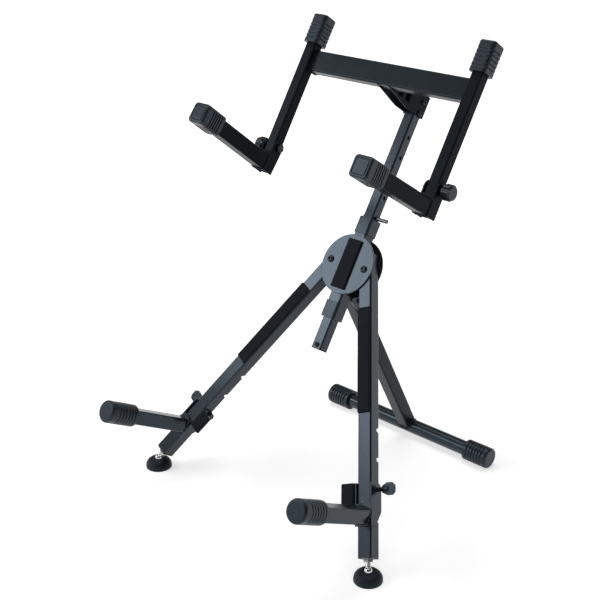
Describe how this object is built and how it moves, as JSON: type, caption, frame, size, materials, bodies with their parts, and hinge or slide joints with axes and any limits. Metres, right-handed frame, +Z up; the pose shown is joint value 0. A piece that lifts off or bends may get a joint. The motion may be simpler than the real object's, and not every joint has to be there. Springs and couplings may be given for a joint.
{
  "type": "amplifier stand",
  "caption": "Folding tripod stand with a leaning mast, padded front legs with hooked arms, and a capped upper frame with folding arms for carrying an amplifier.",
  "frame": {"origin": "on the floor, midway across the stand and midway between its front and back", "axes": "+Z up, +X to the right seen from the front, -Y to the front, where the arms point"},
  "size_m": [0.6572, 0.6789, 0.9344],
  "materials": {
    "leg_paint": "satin powder coat, charcoal",
    "disc_paint": "satin powder coat, charcoal",
    "frame_paint": "satin powder coat, black",
    "cap_rubber": "matt moulded rubber",
    "foot_rubber": "moulded rubber",
    "pad_foam": "closed-cell foam",
    "knob_plastic": "moulded black plastic",
    "collar_plastic": "moulded black plastic",
    "chrome_steel": "chrome plated",
    "bolt_steel": "black oxide"
  },
  "bodies": {
    "hub_set": {"front_disc": "disc_paint", "rear_disc": "leg_paint", "sleeve_tube": "leg_paint", "upper_collar": "collar_plastic", "lower_collar": "collar_plastic", "pivot_bolts": "bolt_steel", "pivot_nuts": "bolt_steel", "disc_pad": "pad_foam", "rear_hinge_bracket": "leg_paint", "rear_hinge_bolt": "bolt_steel", "rear_hinge_nut": "bolt_steel"},
    "rear_leg_set": {"rear_leg_tube": "leg_paint", "rear_foot_bar": "leg_paint", "rear_foot_caps": "cap_rubber"},
    "mast_set": {"mast_tube": "leg_paint", "mast_stop_bolt": "bolt_steel", "neck_bracket": "frame_paint", "neck_bolts": "bolt_steel", "neck_nuts": "bolt_steel", "crossbar": "frame_paint", "right_upright": "frame_paint", "left_upright": "frame_paint", "upright_caps": "cap_rubber"},
    "locking_pin_set": {"locking_pin": "chrome_steel"},
    "right_leg_set": {"right_leg_tube": "leg_paint", "right_leg_pad": "pad_foam", "right_leg_plug": "collar_plastic", "right_foot_nut": "chrome_steel"},
    "right_foot_screw_set": {"right_foot_screw": "chrome_steel"},
    "right_foot_set": {"right_foot_pad": "foot_rubber"},
    "right_lower_arm_set": {"right_lower_bracket": "leg_paint", "right_lower_arm": "leg_paint", "right_lower_arm_cap": "cap_rubber", "right_ear_pad": "pad_foam", "right_clamp_nut": "bolt_steel"},
    "right_wing_screw_set": {"right_wing_screw": "knob_plastic"},
    "right_upper_arm_set": {"right_upper_bracket": "frame_paint", "right_upper_arm": "frame_paint", "right_upper_arm_cap": "cap_rubber", "right_upper_nut": "bolt_steel"},
    "right_clamp_knob_set": {"right_clamp_knob": "knob_plastic"},
    "left_leg_set": {"left_leg_tube": "leg_paint", "left_leg_pad": "pad_foam", "left_leg_plug": "collar_plastic", "left_foot_nut": "chrome_steel"},
    "left_foot_screw_set": {"left_foot_screw": "chrome_steel"},
    "left_foot_set": {"left_foot_pad": "foot_rubber"},
    "left_lower_arm_set": {"left_lower_bracket": "leg_paint", "left_lower_arm": "leg_paint", "left_lower_arm_cap": "cap_rubber", "left_ear_pad": "pad_foam", "left_clamp_nut": "bolt_steel"},
    "left_wing_screw_set": {"left_wing_screw": "knob_plastic"},
    "left_upper_arm_set": {"left_upper_bracket": "frame_paint", "left_upper_arm": "frame_paint", "left_upper_arm_cap": "cap_rubber", "left_upper_nut": "bolt_steel"},
    "left_clamp_knob_set": {"left_clamp_knob": "knob_plastic"}
  },
  "joints": [
    {"name": "rear_leg_fold", "type": "hinge", "parent": "hub_set", "child": "rear_leg_set", "pos_m": [0, 0.1169, 0.39522], "axis": [-1, 0, 0], "range_deg": [0, 60]},
    {"name": "right_leg_fold", "type": "hinge", "parent": "hub_set", "child": "right_leg_set", "pos_m": [0.0442, 0.1118, 0.46724], "axis": [0, 0.8434, -0.5373], "range_deg": [0, 24.5]},
    {"name": "left_leg_fold", "type": "hinge", "parent": "hub_set", "child": "left_leg_set", "pos_m": [-0.0442, 0.1118, 0.46724], "axis": [0, -0.8434, 0.5373], "range_deg": [0, 24.5]},
    {"name": "right_foot_screw_turn", "type": "hinge", "parent": "right_leg_set", "child": "right_foot_screw_set", "pos_m": [0.30055, -0.17313, 0.02], "axis": [-0.4352, 0.4837, 0.7593], "continuous": true},
    {"name": "left_foot_screw_turn", "type": "hinge", "parent": "left_leg_set", "child": "left_foot_screw_set", "pos_m": [-0.30055, -0.17313, 0.02], "axis": [-0.4352, -0.4837, -0.7593], "continuous": true},
    {"name": "right_foot_swivel", "type": "hinge", "parent": "right_leg_set", "child": "right_foot_set", "pos_m": [0.30055, -0.17313, 0.02], "axis": [0, 0, 1], "continuous": true},
    {"name": "left_foot_swivel", "type": "hinge", "parent": "left_leg_set", "child": "left_foot_set", "pos_m": [-0.30055, -0.17313, 0.02], "axis": [0, 0, -1], "continuous": true},
    {"name": "right_lower_arm_lift", "type": "hinge", "parent": "right_leg_set", "child": "right_lower_arm_set", "pos_m": [0.23466, -0.09145, 0.12959], "axis": [-0.9003, -0.2338, -0.3671], "range_deg": [0, 90]},
    {"name": "left_lower_arm_lift", "type": "hinge", "parent": "left_leg_set", "child": "left_lower_arm_set", "pos_m": [-0.23466, -0.09145, 0.12959], "axis": [-0.9003, 0.2338, 0.3671], "range_deg": [0, 90]},
    {"name": "right_wing_screw_turn", "type": "hinge", "parent": "right_lower_arm_set", "child": "right_wing_screw_set", "pos_m": [0.23466, -0.09145, 0.12959], "axis": [0.9003, 0.2338, 0.3671], "continuous": true},
    {"name": "left_wing_screw_turn", "type": "hinge", "parent": "left_lower_arm_set", "child": "left_wing_screw_set", "pos_m": [-0.23466, -0.09145, 0.12959], "axis": [0.9003, -0.2338, -0.3671], "continuous": true},
    {"name": "mast_lift", "type": "slide", "parent": "hub_set", "child": "mast_set", "axis": [0, 0.5373, 0.8434], "range_m": [0, 0.0532]},
    {"name": "locking_pin_pull", "type": "slide", "parent": "mast_set", "child": "locking_pin_set", "axis": [1, 0, 0], "range_m": [0, 0.03]},
    {"name": "right_upper_arm_fold", "type": "hinge", "parent": "mast_set", "child": "right_upper_arm_set", "pos_m": [0.21, 0.09879, 0.67947], "axis": [-1, 0, 0], "range_deg": [0, 90]},
    {"name": "left_upper_arm_fold", "type": "hinge", "parent": "mast_set", "child": "left_upper_arm_set", "pos_m": [-0.21, 0.09879, 0.67947], "axis": [-1, 0, 0], "range_deg": [-5.6, 84.4]},
    {"name": "right_clamp_knob_turn", "type": "hinge", "parent": "right_upper_arm_set", "child": "right_clamp_knob_set", "pos_m": [0.21, 0.09879, 0.67947], "axis": [1, 0, 0], "continuous": true},
    {"name": "left_clamp_knob_turn", "type": "hinge", "parent": "left_upper_arm_set", "child": "left_clamp_knob_set", "pos_m": [-0.21, 0.09879, 0.67947], "axis": [1, 0, 0], "continuous": true}
  ]
}
